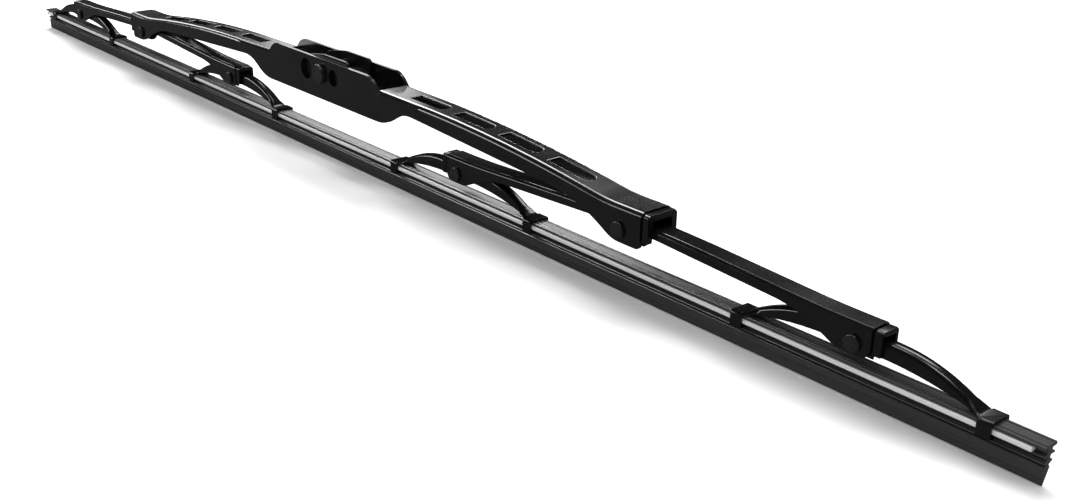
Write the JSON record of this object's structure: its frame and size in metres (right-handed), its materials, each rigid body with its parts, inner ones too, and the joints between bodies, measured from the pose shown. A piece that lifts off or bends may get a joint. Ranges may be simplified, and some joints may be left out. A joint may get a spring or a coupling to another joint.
{
  "type": "wiper blade",
  "caption": "Bracket wiper blade: pressed steel yokes rocking on rivets in plastic bushes, claws, spring strips and a rubber wiping lip, hung from an arm hook adapter.",
  "frame": {"origin": "middle of the arm rivet, the cross pin that the wiper arm's hook hangs on", "axes": "+X along the blade, +Y across it, +Z away from the glass"},
  "size_m": [0.6, 0.0172, 0.0432],
  "materials": {
    "painted_steel": "semi-gloss black stove paint",
    "rivet_steel": "black, semi-gloss",
    "bush_plastic": "satin black moulding",
    "adapter_plastic": "satin black moulding",
    "strip_steel": "bright rolled stainless steel",
    "rubber": "matte dark grey"
  },
  "bodies": {
    "bracket": {"primary_bracket": "painted_steel", "arm_rivet": "rivet_steel", "wiper_rubber": "rubber", "flexor_strip_front": "strip_steel", "flexor_strip_back": "strip_steel", "pivot_bush_left": "bush_plastic", "pivot_rivet_left": "rivet_steel", "pivot_bush_right": "bush_plastic", "pivot_rivet_right": "rivet_steel"},
    "adapter": {"arm_adapter": "adapter_plastic"},
    "secondary_left": {"secondary_yoke_left": "painted_steel", "claw_bush_inner_left": "bush_plastic", "claw_rivet_inner_left": "rivet_steel", "claw_bush_outer_left": "bush_plastic", "claw_rivet_outer_left": "rivet_steel"},
    "claws_inner_left": {"claw_yoke_inner_left": "painted_steel"},
    "claws_outer_left": {"claw_yoke_outer_left": "painted_steel"},
    "secondary_right": {"secondary_yoke_right": "painted_steel", "claw_bush_inner_right": "bush_plastic", "claw_rivet_inner_right": "rivet_steel", "claw_bush_outer_right": "bush_plastic", "claw_rivet_outer_right": "rivet_steel"},
    "claws_inner_right": {"claw_yoke_inner_right": "painted_steel"},
    "claws_outer_right": {"claw_yoke_outer_right": "painted_steel"}
  },
  "joints": [
    {"name": "adapter_turn", "type": "hinge", "parent": "bracket", "child": "adapter", "pos_m": [0, 0, 0], "axis": [0, -1, 0], "range_deg": [0, 60]},
    {"name": "secondary_left_rock", "type": "hinge", "parent": "bracket", "child": "secondary_left", "pos_m": [-0.1645, 0, -0.0134], "axis": [0, 1, 0], "range_deg": [-5, 5], "stiffness_Nm_per_rad": 1.5, "deforming": ["wiper_rubber", "flexor_strip_front", "flexor_strip_back"]},
    {"name": "claws_inner_left_rock", "type": "hinge", "parent": "secondary_left", "child": "claws_inner_left", "pos_m": [-0.0817, 0, -0.0191], "axis": [0, 1, 0], "range_deg": [-5, 5], "stiffness_Nm_per_rad": 0.3, "deforming": ["wiper_rubber", "flexor_strip_front", "flexor_strip_back"]},
    {"name": "claws_outer_left_rock", "type": "hinge", "parent": "secondary_left", "child": "claws_outer_left", "pos_m": [-0.2473, 0, -0.0191], "axis": [0, 1, 0], "range_deg": [-5, 5], "stiffness_Nm_per_rad": 0.3, "deforming": ["wiper_rubber", "flexor_strip_front", "flexor_strip_back"]},
    {"name": "secondary_right_rock", "type": "hinge", "parent": "bracket", "child": "secondary_right", "pos_m": [0.1645, 0, -0.0134], "axis": [0, 1, 0], "range_deg": [-5, 5], "stiffness_Nm_per_rad": 1.5, "deforming": ["wiper_rubber", "flexor_strip_front", "flexor_strip_back"]},
    {"name": "claws_inner_right_rock", "type": "hinge", "parent": "secondary_right", "child": "claws_inner_right", "pos_m": [0.0817, 0, -0.0191], "axis": [0, 1, 0], "range_deg": [-5, 5], "stiffness_Nm_per_rad": 0.3, "deforming": ["wiper_rubber", "flexor_strip_front", "flexor_strip_back"]},
    {"name": "claws_outer_right_rock", "type": "hinge", "parent": "secondary_right", "child": "claws_outer_right", "pos_m": [0.2473, 0, -0.0191], "axis": [0, 1, 0], "range_deg": [-5, 5], "stiffness_Nm_per_rad": 0.3, "deforming": ["wiper_rubber", "flexor_strip_front", "flexor_strip_back"]}
  ]
}
